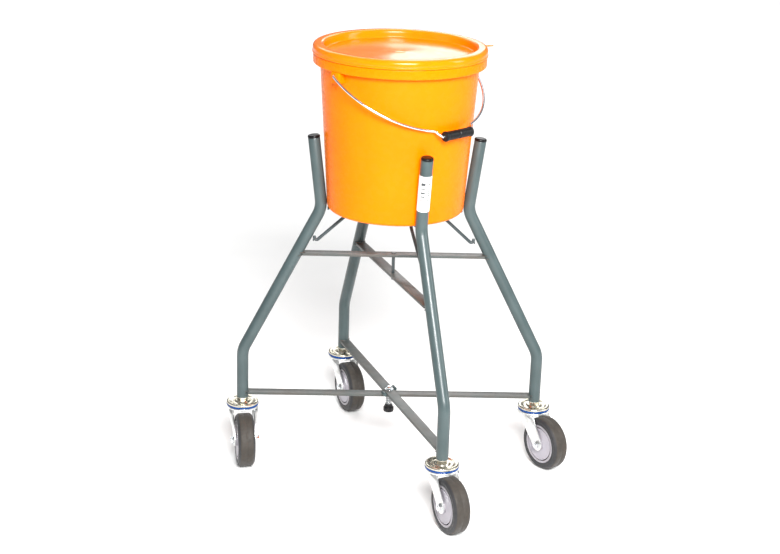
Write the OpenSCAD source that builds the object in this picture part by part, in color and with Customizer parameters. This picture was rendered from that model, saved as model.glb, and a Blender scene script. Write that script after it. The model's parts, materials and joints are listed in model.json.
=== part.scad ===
// Wash bucket on a folding four-legged stand with swivel casters.
// Two bent-tube frames cross on a vertical pivot and carry a lidded pail.
// +Z is up, the pivot axis is the Z axis and the floor is z = 0.

/* [Tube frames] */
// Outside diameter of the leg tube
tube_d = 22; // [20:0.5:24]
// Wall thickness of the leg tube
tube_wall = 1.5; // [1:0.25:2.5]
// Centre-line radius of the bends in each leg
bend_r = 50; // [35:5:70]
// Distance from the pivot axis to the top of a leg
leg_top_r = 150.5; // [149:0.5:156]
// Height of the top of a leg tube
leg_top_z = 630; // [600:5:650]
// Distance from the pivot axis to the upper bend
waist_r = 134.5; // [134:0.5:142]
// Height of the upper bend
waist_z = 498.5; // [495:0.5:505]
// Distance from the pivot axis to the caster stem
foot_r = 278; // [260:1:300]
// Height of the lower bend
knee_z = 217; // [200:1:240]
// Height of the lower end of a leg tube
foot_z = 122; // [121:0.5:124]
// Direction of the back leg, from the right-hand leg
cross_angle = 107.8; // [90:0.1:120]

/* [Ties and pivot] */
// Width of the flat tie bars
tie_w = 20; // [16:1:25]
// Thickness of the flat tie bars
tie_t = 5; // [4:0.5:6]
// Middle height of the side frame's lower tie
tie_low_z = 131.8; // [130:0.1:134]
// Middle height of the side frame's upper tie
tie_high_z = 410.3; // [400:0.5:420]
// Height from the cross frame's upper tie to the side frame's
pin_span = 37; // [30:1:45]
// Diameter of the upper pivot pin
pin_d = 6; // [5:0.5:8]
// Diameter of the lower pivot bolt
bolt_d = 8; // [6:1:10]
// Number of turns in the clamp spring
spring_turns = 4.5; // [3:0.5:6]

/* [Pail rests] */
// Height of the seat that the rests make for the pail
seat_z = 501; // [498:1:506]
// Diameter of the rod that the pail stands on
rest_d = 6; // [5:0.5:7]
// Distance from the pivot axis to the inner bend of a rest
rest_inner_r = 74; // [60:1:85]

/* [Casters] */
// Wheel diameter
wheel_d = 100; // [90:1:101]
// Tyre width
wheel_w = 32; // [28:1:33]
// Distance that the axle trails behind the stem
trail = 40; // [35:1:45]
// Direction in which the left caster trails
yaw_left = -81; // [-180:1:180]
// Direction in which the right caster trails
yaw_right = -57; // [-180:1:180]
// Direction in which the front caster trails
yaw_front = -67; // [-180:1:180]
// Direction in which the back caster trails
yaw_back = -69; // [-180:1:180]

/* [Pail and lid] */
// Outside radius of the pail at its base
pail_base_r = 124.5; // [120:0.5:124.5]
// Outside radius of the pail wall under the collar
pail_neck_r = 142; // [138:0.5:143]
// Height of the underside of the collar
collar_z = 770; // [740:1:780]
// Depth of the collar
collar_h = 17; // [12:1:22]
// Outside radius of the collar
collar_r = 155; // [152:0.5:156]
// Wall thickness of the pail
pail_wall = 2.4; // [1.8:0.1:3]
// Outside radius of the lid
lid_r = 156.5; // [155:0.5:157]
// Height of the lid's rim above the collar
lid_h = 16.5; // [14:0.5:20]

/* [Bail] */
// Direction of the front ear
ear_angle = -138; // [-150:1:-125]
// Depth of the bail pivot below the underside of the collar
ear_drop = 4.5; // [4.5:0.5:8]
// Diameter of the bail wire
wire_d = 4.5; // [4:0.1:5]
// Radius of the bail's bow
bail_r = 161; // [160.5:0.5:168]
// Angle of the hanging bail from straight down
bail_tilt = 57; // [53:0.5:60]
// Length of the grip
grip_l = 65; // [55:1:70]

/* [Hidden] */
// Gap between touching faces of two bodies
gap = 0.3;
// Radial clearance of a turning fit
running = 0.07;
// Overshoot of a cutting shape
cut = 1;
// Overlap of a straight run with a bend
lap = 0.2;
// Extra diameter of a bend
step = 0.1;
$fn = 72;

tube_r = tube_d / 2;
bore_r = tube_r - tube_wall;
leg_line = [[foot_r, foot_z], [foot_r, knee_z], [waist_r, waist_z], [leg_top_r, leg_top_z]];
leg_bends = [0, bend_r, bend_r, 0];
shank_slope = (foot_r - waist_r) / (waist_z - knee_z);
shank_lean = atan(shank_slope);
top_lean = atan((leg_top_r - waist_r) / (leg_top_z - waist_z));
tie_low_top = tie_low_z + tie_t / 2;
cross_low_z = tie_low_top + 0.4 + tie_t / 2;
cross_high_z = tie_high_z - pin_span;
side_dirs = [180, 0];
cross_dirs = [cross_angle - 180, cross_angle];

bolt_r = bolt_d / 2;
pin_r = pin_d / 2;
washer_z = cross_low_z + tie_t / 2 + 0.2;
washer_t = 1.4;
washer_r = 8;
knob_base = 96;
knob_h = 14;
knob_r = 10;
spring_wire = 1.6;
spring_r = 5.6;
spring_low = knob_base + knob_h + gap;
spring_high = tie_low_z - tie_t / 2;
lug_r = 3.5;
lug_l = 12;
lug_start = 4.9;

wheel_r = wheel_d / 2;
wheel_z = wheel_r;
crown_top = foot_z - 16;
crown_t = 3.5;
crown_r = 29.5;
cheek_in = wheel_w / 2 + 2;
cheek_t = 2.5;
axle_r = 4;
tip_r = 12;
plate_r = 30;
plate_low = crown_top + 4;
kingpin_r = 6;
rim_r = 37;

pail_z = seat_z + gap;
pail_corner = 8;
pail_draft = (pail_neck_r - pail_base_r) / (collar_z - pail_z - pail_corner);
mouth_r = pail_neck_r + 4;
collar_top = collar_z + collar_h;
lid_low = collar_top + 0.6;
lid_top = collar_top + lid_h;
panel_z = collar_top + 2;
panel_t = 2.2;
panel_r = 134;

ear_z = collar_z - ear_drop;
ear_in = pail_neck_r - 2;
ear_out = 156;
ear_w = 20;
ear_h = 20;
wire_r = wire_d / 2;
bow_drop = 7;
grip_r = 8;
flange_r = 9;
grip_drop = 177.5;
bow_turn = acos(48 / bail_r);
bow_corner = bow_drop + bail_r * tan(bow_turn / 2);
kink_run = 4;
kink = [bail_r * cos(bow_turn), bow_drop + bail_r * sin(bow_turn)] + kink_run * [-sin(bow_turn), cos(bow_turn)];
grip_half = grip_l / 2 + 5;
bail_line = [
    [-bail_r + 15, 0], [-bail_r, 0], [-bail_r, bow_corner], [-kink[0], kink[1]],
    [-grip_half, grip_drop], [grip_half, grip_drop],
    kink, [bail_r, bow_corner], [bail_r, 0], [bail_r - 15, 0]
];
bail_bends = [0, 5, bail_r, 4, 4, 4, 4, bail_r, 5, 0];

// Distance of a leg's shank from the pivot axis at a height
function leg_r(z) = waist_r + (waist_z - z) * shank_slope;
// Direction from one point of a path to the next
function heading(a, b) = atan2(b[1] - a[1], b[0] - a[0]);
// An angle brought into the range -180 to 180
function wrap(a) = a > 180 ? a - 360 : (a < -180 ? a + 360 : a);
// Signed turn of a path at its corner i
function turn_at(p, i) = wrap(heading(p[i], p[i + 1]) - heading(p[i - 1], p[i]));
// Length that the bend at corner i takes from each side
function trim_at(p, r, i) =
    i == 0 || i == len(p) - 1 ? 0 : r[i] * tan(abs(turn_at(p, i)) / 2);
// Point where the line from a to a circle touches it, on one side
function tangent_point(a, c, r, side) =
    let (d = norm(a - c), w = atan2(a[1] - c[1], a[0] - c[0]) + side * acos(r / d))
    c + r * [cos(w), sin(w)];
// Points on an arc in the plane
function arc(c, r, a0, a1, n) = [
    for (i = [0:n]) c + r * [cos(a0 + (a1 - a0) * i / n), sin(a0 + (a1 - a0) * i / n)]
];

// Round bar along a path in the XY plane, with a rounded corner at each inner point.
// Each straight run reaches a little way into bends that are a hair thicker.
module bent_rod(p, r, d) {
    for (i = [0:len(p) - 2]) {
        w = heading(p[i], p[i + 1]);
        from_bend = i > 0 ? trim_at(p, r, i) - lap : 0;
        to_bend = i < len(p) - 2 ? trim_at(p, r, i + 1) - lap : 0;
        start = p[i] + from_bend * [cos(w), sin(w)];
        run = norm(p[i + 1] - p[i]) - from_bend - to_bend;
        translate([start[0], start[1], 0]) rotate([0, 0, w]) rotate([0, 90, 0]) cylinder(h = run, d = d);
    }
    for (i = [1:len(p) - 2]) {
        w = heading(p[i - 1], p[i]);
        turn = turn_at(p, i);
        side = sign(turn);
        entry = p[i] - trim_at(p, r, i) * [cos(w), sin(w)];
        centre = entry + side * r[i] * [-sin(w), cos(w)];
        first = side > 0 ? w - 90 : w + 90 + turn;
        translate([centre[0], centre[1], 0]) rotate([0, 0, first])
            rotate_extrude(angle = abs(turn)) translate([r[i], 0]) circle(d = d + step);
    }
}

// Puts a shape drawn in the XY plane into the upright plane of a leg
module in_leg_plane(dir) {
    rotate([0, 0, dir]) rotate([90, 0, 0]) children();
}

// Puts a shape on the top end of a leg, along the tube
module on_leg_top(dir) {
    rotate([0, 0, dir]) translate([leg_top_r, 0, leg_top_z]) rotate([0, top_lean, 0]) children();
}

// Bent leg tube
module tube(dir) {
    last = len(leg_line) - 1;
    over = [
        for (i = [0:last])
            leg_line[i] + (i == 0 ? [0, -cut] : (i == last ? cut * [sin(top_lean), cos(top_lean)] : [0, 0]))
    ];
    color("#788789") in_leg_plane(dir) difference() {
        bent_rod(leg_line, leg_bends, tube_d);
        bent_rod(over, leg_bends, 2 * bore_r);
    }
}

// Push-in plastic cap
module cap(dir) {
    plug_h = 12;
    dome = concat(arc([tube_r - 2.5, 2], 2.8, 0, 90, 6), [[0, 5.6]]);
    color("#1c1c1e") on_leg_top(dir) {
        rotate_extrude() polygon(concat([[0, 0], [tube_r + 0.3, 0]], dome));
        translate([0, 0, -plug_h]) cylinder(h = plug_h, r = bore_r - 0.05);
    }
}

// Bent rod bracket that one side of the pail stands on
module rest(dir) {
    rod_z = seat_z - rest_d / 2;
    foot_low = rod_z - 66.5;
    foot_high = foot_low + 12;
    foot_in = leg_r(foot_high) - (tube_r + rest_d / 2) / cos(shank_lean) - 0.1;
    line = [[waist_r - tube_r - 0.6, rod_z], [rest_inner_r, rod_z], [foot_in, foot_low], [foot_in, foot_high]];
    color("#5d6b6d") in_leg_plane(dir) bent_rod(line, [0, 7, 4, 0], rest_d);
}

// Flat bar from leg to leg, with its ends shaped to the tubes
module tie(z, dir, hole_r) {
    reach = z > knee_z ? leg_r(z) : foot_r;
    lean = z > knee_z ? shank_lean : 0;
    color("#838a8a") rotate([0, 0, dir]) difference() {
        translate([-reach, -tie_w / 2, z - tie_t / 2]) cube([2 * reach, tie_w, tie_t]);
        for (side = [0, 180])
            rotate([0, 0, side]) translate([reach, 0, z]) rotate([0, -lean, 0])
                cylinder(h = 6 * tie_t, r = tube_r + 0.05, center = true);
        translate([0, 0, z - tie_t]) cylinder(h = 2 * tie_t, r = hole_r);
    }
}

// Short round lugs that stop the cross frame from opening further
module stop_lugs() {
    color("#788789") for (side = [0, 180])
        rotate([0, 0, cross_angle + side]) difference() {
            translate([lug_start, -tie_w / 2 - lug_r - 0.5, tie_low_top + lug_r - 0.4])
                rotate([0, 90, 0]) cylinder(h = lug_l, r = lug_r);
            translate([0, -tie_w, tie_low_top - tie_t]) cube([2 * tie_w, tie_w, tie_t]);
        }
}

// Upper pivot pin, fixed in the side frame's tie
module pivot_pin() {
    stub = 9;
    low = cross_high_z - tie_t / 2 - stub;
    high = tie_high_z + tie_t / 2;
    color("#6f7d7f") {
        translate([0, 0, low]) cylinder(h = high - low, r = pin_r);
        translate([0, 0, high]) cylinder(h = 1.2, r = pin_r + 1.5);
    }
}

// Lower pivot bolt with a domed hexagon head
module pivot_bolt() {
    head_h = 4;
    head_r = 7.5;
    head_z = washer_z + washer_t;
    low = knob_base + 3;
    color("#c9ccd0") {
        translate([0, 0, low]) cylinder(h = head_z - low, r = bolt_r);
        translate([0, 0, head_z]) cylinder(h = head_h, r = head_r, $fn = 6);
        translate([0, 0, head_z + head_h]) rotate_extrude()
            polygon(concat([[0, 0]], arc([0, -6.5], 9, 46.2, 90, 6)));
    }
}

// Washer under the bolt head
module pivot_washer() {
    color("#b9bcc0") translate([0, 0, washer_z]) difference() {
        cylinder(h = washer_t, r = washer_r);
        translate([0, 0, -cut]) cylinder(h = washer_t + 2 * cut, r = bolt_r + 0.05);
    }
}

// Open coil spring between the lower tie and the knob
module pivot_spring() {
    sides = 8;
    steps = 18;
    rings = floor(spring_turns * steps);
    rise = (spring_high - spring_low - spring_wire - 0.1) / rings;
    low = spring_low + spring_wire / 2 + 0.05;
    points = [
        for (i = [0:rings], k = [0:sides - 1])
            let (w = 360 * i / steps, a = 360 * k / sides, r = spring_r + spring_wire / 2 * cos(a))
            [r * cos(w), r * sin(w), low + rise * i + spring_wire / 2 * sin(a)]
    ];
    skin = [
        for (i = [0:rings - 1], k = [0:sides - 1])
            [i * sides + k, i * sides + (k + 1) % sides, (i + 1) * sides + (k + 1) % sides, (i + 1) * sides + k]
    ];
    ends = [[for (k = [sides - 1:-1:0]) k], [for (k = [0:sides - 1]) rings * sides + k]];
    color("#b9bcc0") polyhedron(points = points, faces = concat(skin, ends), convexity = 6);
}

// Clamp knob on the end of the bolt
module pivot_knob() {
    neck_r = 7.5;
    outline = concat(
        [[0, 0], [knob_r - 3, 0]], arc([knob_r - 2, 2], 2, -90, 0, 4),
        arc([knob_r - 2, 7], 2, 0, 90, 4), [[neck_r, 10.5], [neck_r, knob_h], [0, knob_h]]
    );
    color("#151517") translate([0, 0, knob_base]) difference() {
        rotate_extrude() polygon(outline);
        translate([0, 0, 2]) cylinder(h = knob_h, r = bolt_r + running);
    }
}

// Sticker wrapped round the front leg
module label_sleeve() {
    wrap_angle = 250;
    color("white") on_leg_top(cross_dirs[0]) translate([0, 0, -94]) rotate([0, 0, -wrap_angle / 2])
        rotate_extrude(angle = wrap_angle) translate([tube_r + 0.05, 0]) square([0.3, 66]);
}

// Puts a part drawn with its stem on the Z axis and trailing along +X onto a leg
module on_foot(dir, yaw) {
    rotate([0, 0, dir]) translate([foot_r, 0, 0]) rotate([0, 0, yaw - dir]) children();
}

// Stem, dished top plate and kingpin of a caster
module head(dir, yaw) {
    dish = [
        [0, plate_low], [plate_r - 1, plate_low], [plate_r, plate_low + 1], [plate_r, plate_low + 3],
        [plate_r - 2, plate_low + 4.6], [plate_r - 5, plate_low + 4.6], [plate_r - 9, plate_low + 3.2],
        [15, plate_low + 3.2], [12.5, plate_low + 6], [0, plate_low + 6]
    ];
    color("#c4c0b4") on_foot(dir, yaw) {
        rotate_extrude() polygon(dish);
        translate([0, 0, plate_low + 6]) cylinder(h = foot_z - plate_low - 6, r = 10.5, $fn = 6);
        translate([0, 0, foot_z]) cylinder(h = 38, r = bore_r - 0.05);
        translate([0, 0, crown_top - crown_t - gap]) cylinder(h = plate_low - crown_top + crown_t + gap, r = kingpin_r);
        translate([0, 0, crown_top - crown_t - gap - 2]) cylinder(h = 2, r = kingpin_r + 3);
    }
}

// Coloured dust seal between the plate and the fork
module seal(dir, yaw) {
    color("#0b4ea2") on_foot(dir, yaw) translate([0, 0, crown_top + gap]) difference() {
        cylinder(h = plate_low - crown_top - gap, r = plate_r + 0.5);
        translate([0, 0, -cut]) cylinder(h = plate_low - crown_top + 2 * cut, r = plate_r - 7);
    }
}

// Outline of a fork cheek, seen from the side
module cheek_outline() {
    eye = [trail, wheel_z];
    front = [26, crown_top - 6];
    back = [-24, crown_top - 6];
    polygon([
        [back[0] + 3, crown_top - 1], back, tangent_point(back, eye, tip_r, 1),
        eye, tangent_point(front, eye, tip_r, -1), front, [front[0] - 3, crown_top - 1]
    ]);
    translate(eye) circle(r = tip_r);
}

// Pressed fork: a round crown with two cheeks that hold the axle
module fork(dir, yaw) {
    color("#d3d5d6") on_foot(dir, yaw) difference() {
        union() {
            translate([0, 0, crown_top - crown_t]) cylinder(h = crown_t, r = crown_r);
            difference() {
                translate([0, 0, crown_top - 11]) cylinder(h = 10, r = crown_r);
                translate([0, 0, crown_top - 12]) cylinder(h = 12 - crown_t, r = crown_r - cheek_t);
                translate([-wheel_r, -cheek_in, crown_top - 12]) cube([wheel_d, 2 * cheek_in, 12 - crown_t]);
            }
            for (y = [-cheek_in, cheek_in + cheek_t])
                translate([0, y, 0]) rotate([90, 0, 0]) linear_extrude(cheek_t) cheek_outline();
        }
        translate([trail, 0, wheel_z]) rotate([90, 0, 0]) cylinder(h = wheel_d, r = axle_r + 0.05, center = true);
        translate([0, 0, crown_top - 2 * crown_t]) cylinder(h = 3 * crown_t, r = kingpin_r + running);
    }
}

// Puts a part drawn round the Z axis onto the axle line
module on_axle(dir, yaw) {
    on_foot(dir, yaw) translate([trail, 0, wheel_z]) rotate([90, 0, 0]) children();
}

// Axle bolt with its head and nut
module axle(dir, yaw) {
    face = cheek_in + cheek_t;
    color("#c9ccd0") on_axle(dir, yaw) {
        translate([0, 0, -face - 6.5]) cylinder(h = 2 * face + 6.5, r = axle_r);
        translate([0, 0, -face - 6.5]) cylinder(h = 6.5, r = 7.5, $fn = 6);
        translate([0, 0, face]) cylinder(h = 5.3, r = 7.5, $fn = 6);
    }
}

// Rubber tyre with rounded shoulders
module tyre(dir, yaw) {
    half = wheel_w / 2;
    shoulder = 6;
    outline = concat(
        [[rim_r + 0.05, -half + 1], [rim_r + 2, -half]],
        arc([wheel_r - shoulder, -half + shoulder], shoulder, -90, 0, 6),
        arc([wheel_r - shoulder, half - shoulder], shoulder, 0, 90, 6),
        [[rim_r + 2, half], [rim_r + 0.05, half - 1]]
    );
    color("#55524e") on_axle(dir, yaw) rotate_extrude() polygon(outline);
}

// Plastic wheel centre with a rim ring and a bearing boss
module hub(dir, yaw) {
    bore = axle_r + running;
    boss = wheel_w / 2 + 1.7;
    ring = wheel_w / 2 - 0.5;
    outline = [
        [bore, -boss], [11, -boss], [11, -5], [rim_r - 4, -5], [rim_r - 4, -ring], [rim_r, -ring],
        [rim_r, ring], [rim_r - 4, ring], [rim_r - 4, 5], [11, 5], [11, boss], [bore, boss]
    ];
    color("#c8c3c8") on_axle(dir, yaw) rotate_extrude() polygon(outline);
}

// Thin discs that cover both sides of the wheel centre
module guards(dir, yaw) {
    color("#cfcad2") on_axle(dir, yaw) for (z = [-wheel_w / 2 + 0.5, wheel_w / 2 - 2])
        translate([0, 0, z]) difference() {
            cylinder(h = 1.5, r = rim_r - 6);
            translate([0, 0, -cut]) cylinder(h = 1.5 + 2 * cut, r = 11.1);
        }
}

// Outer radius of the pail wall at a height
function wall_r(z) = pail_base_r + (z - pail_z - pail_corner) * pail_draft;

// Tapered pail with a skirted collar, a raised mouth and two ears for the bail
module pail() {
    inner = pail_corner - pail_wall;
    outline = concat(
        [[0, pail_z]],
        arc([pail_base_r - pail_corner, pail_z + pail_corner], pail_corner, -90, 0, 8),
        [[wall_r(collar_top - 3), collar_top - 3], [collar_r - 2.2, collar_top - 3], [collar_r - 2.2, collar_z]],
        [[collar_r, collar_z], [collar_r, collar_top], [mouth_r, collar_top], [mouth_r, collar_top + 9]],
        [[mouth_r - pail_wall, collar_top + 9], [wall_r(collar_top) - pail_wall, collar_top - 6]],
        arc([pail_base_r - pail_corner, pail_z + pail_corner], inner, 0, -90, 8),
        [[0, pail_z + pail_wall]]
    );
    color("#fd9a0c") difference() {
        union() {
            rotate_extrude($fn = 120) polygon(outline);
            for (side = [0, 180])
                rotate([0, 0, ear_angle + side]) difference() {
                    translate([ear_in, -ear_w / 2, collar_z - ear_h]) cube([ear_out - ear_in, ear_w, ear_h]);
                    translate([0, 0, collar_z - 2 * ear_h]) cylinder(h = 3 * ear_h, r = wall_r(collar_z) - 1, $fn = 120);
                }
        }
        for (side = [0, 180])
            rotate([0, 0, ear_angle + side]) translate([bail_r - 15 - 1, 0, ear_z]) rotate([0, 90, 0])
                cylinder(h = 15, r = wire_r + running);
    }
}

// Lid with a hollow rolled rim round a recessed flat panel
module lid() {
    shoulder = 7;
    lip = panel_r + 2;
    mark = 9.5;
    outline = concat(
        [[0, panel_z - panel_t], [panel_r + 2.2, panel_z - panel_t], [lip + 2.2, lid_top - 6]],
        [[lip + 6, lid_top - 2.2], [lid_r - shoulder, lid_top - 2.2], [lid_r - 2.4, lid_top - shoulder]],
        [[lid_r - 2.4, lid_low], [lid_r, lid_low]],
        arc([lid_r - shoulder, lid_top - shoulder], shoulder, 0, 90, 6),
        arc([lip + 5, lid_top - 5], 5, 90, 170, 6),
        [[panel_r, panel_z], [mark, panel_z], [mark, panel_z - 0.5], [mark - 1, panel_z - 0.5]],
        [[mark - 1, panel_z], [0, panel_z]]
    );
    color("#ffa010") rotate_extrude($fn = 120) polygon(outline);
}

// Thin double loop on the edge of the lid
module pull_tab() {
    strip = 1.8;
    loops = [[-11, 27], [0, 16]];
    z = lid_low + 3;
    color("#ff8a1c") rotate([0, 0, 22]) difference() {
        for (loop = loops)
            translate([lid_r - 0.4, loop[0], z]) linear_extrude(2.4) difference() {
                polygon([[0, 0], [loop[1], 4], [loop[1], 8], [0, 12]]);
                polygon([
                    [-1, strip], [loop[1] - strip, 4 + strip],
                    [loop[1] - strip, 8 - strip], [-1, 12 - strip]
                ]);
            }
        translate([0, 0, z - cut]) cylinder(h = 2.4 + 2 * cut, r = lid_r + 0.02, $fn = 120);
    }
}

// Puts a part drawn in the bail's own plane, pivot line on X and drop on Y, onto the pail
module on_bail() {
    translate([0, 0, ear_z]) rotate([0, 0, ear_angle]) rotate([bail_tilt - 90, 0, 0])
        children();
}

// Wire bail with its ends in the ears
module bail() {
    color("#c7cad0") on_bail() bent_rod(bail_line, bail_bends, wire_d);
}

// Plastic grip that turns on the bail
module grip() {
    half = grip_l / 2;
    bore = wire_r + running;
    outline = [
        [bore, -half], [flange_r - 1, -half], [flange_r, -half + 1], [flange_r, -half + 4], [grip_r, -half + 5],
        [grip_r, -2.5], [grip_r - 1, -1.5], [grip_r - 1, 1.5], [grip_r, 2.5],
        [grip_r, half - 5], [flange_r, half - 4], [flange_r, half - 1], [flange_r - 1, half], [bore, half]
    ];
    color("#19191b") on_bail() translate([0, grip_drop, 0]) rotate([0, 90, 0]) rotate_extrude() polygon(outline);
}

tube(side_dirs[0]);  // tube_left
tube(side_dirs[1]);  // tube_right
tube(cross_dirs[0]);  // tube_front
tube(cross_dirs[1]);  // tube_back
cap(side_dirs[0]);  // cap_left
cap(side_dirs[1]);  // cap_right
cap(cross_dirs[0]);  // cap_front
cap(cross_dirs[1]);  // cap_back
rest(side_dirs[0]);  // rest_left
rest(side_dirs[1]);  // rest_right
rest(cross_dirs[0]);  // rest_front
rest(cross_dirs[1]);  // rest_back
tie(tie_high_z, 0, pin_r + 0.05);  // tie_upper_side
tie(tie_low_z, 0, bolt_r + 0.05);  // tie_lower_side
tie(cross_high_z, cross_angle, pin_r + running);  // tie_upper_cross
tie(cross_low_z, cross_angle, bolt_r + running);  // tie_lower_cross
stop_lugs();
pivot_pin();
pivot_bolt();
pivot_washer();
pivot_spring();
pivot_knob();
label_sleeve();
head(side_dirs[0], yaw_left);  // head_left
head(side_dirs[1], yaw_right);  // head_right
head(cross_dirs[0], yaw_front);  // head_front
head(cross_dirs[1], yaw_back);  // head_back
seal(side_dirs[0], yaw_left);  // seal_left
seal(side_dirs[1], yaw_right);  // seal_right
seal(cross_dirs[0], yaw_front);  // seal_front
seal(cross_dirs[1], yaw_back);  // seal_back
fork(side_dirs[0], yaw_left);  // fork_left
fork(side_dirs[1], yaw_right);  // fork_right
fork(cross_dirs[0], yaw_front);  // fork_front
fork(cross_dirs[1], yaw_back);  // fork_back
axle(side_dirs[0], yaw_left);  // axle_left
axle(side_dirs[1], yaw_right);  // axle_right
axle(cross_dirs[0], yaw_front);  // axle_front
axle(cross_dirs[1], yaw_back);  // axle_back
tyre(side_dirs[0], yaw_left);  // tyre_left
tyre(side_dirs[1], yaw_right);  // tyre_right
tyre(cross_dirs[0], yaw_front);  // tyre_front
tyre(cross_dirs[1], yaw_back);  // tyre_back
hub(side_dirs[0], yaw_left);  // hub_left
hub(side_dirs[1], yaw_right);  // hub_right
hub(cross_dirs[0], yaw_front);  // hub_front
hub(cross_dirs[1], yaw_back);  // hub_back
guards(side_dirs[0], yaw_left);  // guards_left
guards(side_dirs[1], yaw_right);  // guards_right
guards(cross_dirs[0], yaw_front);  // guards_front
guards(cross_dirs[1], yaw_back);  // guards_back
pail();
lid();
pull_tab();
bail();
grip();
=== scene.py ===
import json
import logging
import math
from dataclasses import dataclass, field
from enum import Enum
from typing import Iterable, Optional, Sequence

import bpy
from mathutils import Matrix, Vector


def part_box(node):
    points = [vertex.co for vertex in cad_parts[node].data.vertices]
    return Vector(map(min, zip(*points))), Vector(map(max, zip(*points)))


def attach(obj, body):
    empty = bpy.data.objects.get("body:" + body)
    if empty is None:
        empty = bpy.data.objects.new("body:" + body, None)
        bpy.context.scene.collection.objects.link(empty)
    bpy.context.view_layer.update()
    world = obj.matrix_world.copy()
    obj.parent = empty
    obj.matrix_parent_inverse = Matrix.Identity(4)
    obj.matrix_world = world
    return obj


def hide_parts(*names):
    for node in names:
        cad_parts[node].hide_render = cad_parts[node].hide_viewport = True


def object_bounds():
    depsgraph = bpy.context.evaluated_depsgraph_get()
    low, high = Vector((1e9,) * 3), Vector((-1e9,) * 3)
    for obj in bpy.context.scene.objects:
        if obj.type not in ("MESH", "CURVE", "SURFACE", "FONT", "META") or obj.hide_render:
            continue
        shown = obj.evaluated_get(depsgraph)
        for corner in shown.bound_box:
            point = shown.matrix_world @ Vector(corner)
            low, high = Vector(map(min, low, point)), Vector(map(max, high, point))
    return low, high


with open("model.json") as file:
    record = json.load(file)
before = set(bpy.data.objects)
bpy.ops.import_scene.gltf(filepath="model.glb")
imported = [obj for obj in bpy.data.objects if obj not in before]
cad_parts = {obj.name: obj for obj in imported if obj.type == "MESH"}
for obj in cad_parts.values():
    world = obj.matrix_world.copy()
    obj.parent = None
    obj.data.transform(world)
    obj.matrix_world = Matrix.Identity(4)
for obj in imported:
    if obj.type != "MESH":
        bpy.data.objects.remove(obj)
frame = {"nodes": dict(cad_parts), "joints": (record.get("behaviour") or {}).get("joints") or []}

log = logging.getLogger("wash_bucket")

MM = 0.001
CAD_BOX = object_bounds()

Pair = tuple[float, float]
Corner = tuple[float, float, float]


class Side(Enum):
    """The four legs, named for where they stand."""

    LEFT = "left"
    RIGHT = "right"
    FRONT = "front"
    BACK = "back"

    @property
    def frame_body(self) -> str:
        """Name of the tube frame that the leg belongs to."""
        return "frame_side" if self in (Side.LEFT, Side.RIGHT) else "frame_cross"


# ---------------------------------------------------------------- where things stand


def joint(name: str) -> dict:
    """Finds one joint of the frame.

    Args:
        name: the joint's name.

    Returns:
        The joint's record.
    """
    return next(j for j in frame["joints"] if j["name"] == name)


def stem_of(side: Side) -> Vector:
    """Foot of the leg's caster stem on the floor, in millimetres."""
    x, y, _ = joint(f"caster_swivel_{side.value}")["pos_m"]
    return Vector((x, y, 0)) / MM


def leg_heading(side: Side) -> float:
    """Direction of a leg from the pivot axis, in radians."""
    stem = stem_of(side)
    return math.atan2(stem.y, stem.x)


def caster_place(side: Side) -> Matrix:
    """Places a caster drawn with its stem on the Z axis and trailing along +X.

    Args:
        side: the leg that the caster is on.

    Returns:
        The matrix from the caster's own place to the leg, in millimetres.
    """
    stem = stem_of(side)
    axle = Vector(joint(f"wheel_spin_{side.value}")["pos_m"]) / MM
    yaw = math.atan2(axle.y - stem.y, axle.x - stem.x)
    return Matrix.Translation(stem) @ Matrix.Rotation(yaw, 4, "Z")


def leg_place(side: Side) -> Matrix:
    """Turns a shape drawn in the XZ plane to a leg's heading."""
    return Matrix.Rotation(leg_heading(side), 4, "Z")


def bail_place() -> Matrix:
    """Places a shape drawn with the bail's pivot line on X and its drop on Y.

    Returns:
        The matrix from the bail's own plane to where it hangs, in millimetres.
    """
    swing = joint("bail_swing")
    grip = Vector(joint("grip_turn")["pos_m"]) / MM
    pivot = Vector(swing["pos_m"]) / MM
    along = Vector(swing["axis"]).normalized()
    drop = (grip - pivot).normalized()
    turned = Matrix((along, drop, along.cross(drop))).transposed().to_4x4()
    return Matrix.Translation(pivot) @ turned


# ---------------------------------------------------------------- outlines


def rounded(corners: Sequence[Corner], steps: int = 5) -> list[Pair]:
    """Rounds the corners of an open outline.

    Args:
        corners: points of the outline, each with its corner radius, in millimetres.
        steps: number of segments in a right-angled corner.

    Returns:
        The points of the outline with an arc at each rounded corner.
    """
    points: list[Pair] = []
    for i, (x, y, radius) in enumerate(corners):
        here = Vector((x, y))
        if radius <= 0 or i in (0, len(corners) - 1):
            points.append((x, y))
            continue
        back = (Vector(corners[i - 1][:2]) - here).normalized()
        ahead = (Vector(corners[i + 1][:2]) - here).normalized()
        half = back.angle(ahead) / 2
        reach = radius / math.tan(half)
        centre = here + (back + ahead).normalized() * radius / math.sin(half)
        start = here + back * reach - centre
        end = here + ahead * reach - centre
        turn = start.angle_signed(end)
        count = max(2, round(steps * abs(turn) / (math.pi / 2)))
        for k in range(count + 1):
            a = -turn * k / count
            spoke = Vector((
                start.x * math.cos(a) - start.y * math.sin(a),
                start.x * math.sin(a) + start.y * math.cos(a),
            ))
            points.append(tuple(centre + spoke))
    return points


# ---------------------------------------------------------------- the modelling bench


def deselect_all() -> None:
    """Leaves edit mode and drops the selection, so that an operator acts only on what comes next."""
    if bpy.context.object and bpy.context.object.mode != "OBJECT":
        bpy.ops.object.mode_set(mode="OBJECT")
    bpy.ops.object.select_all(action="DESELECT")


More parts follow.
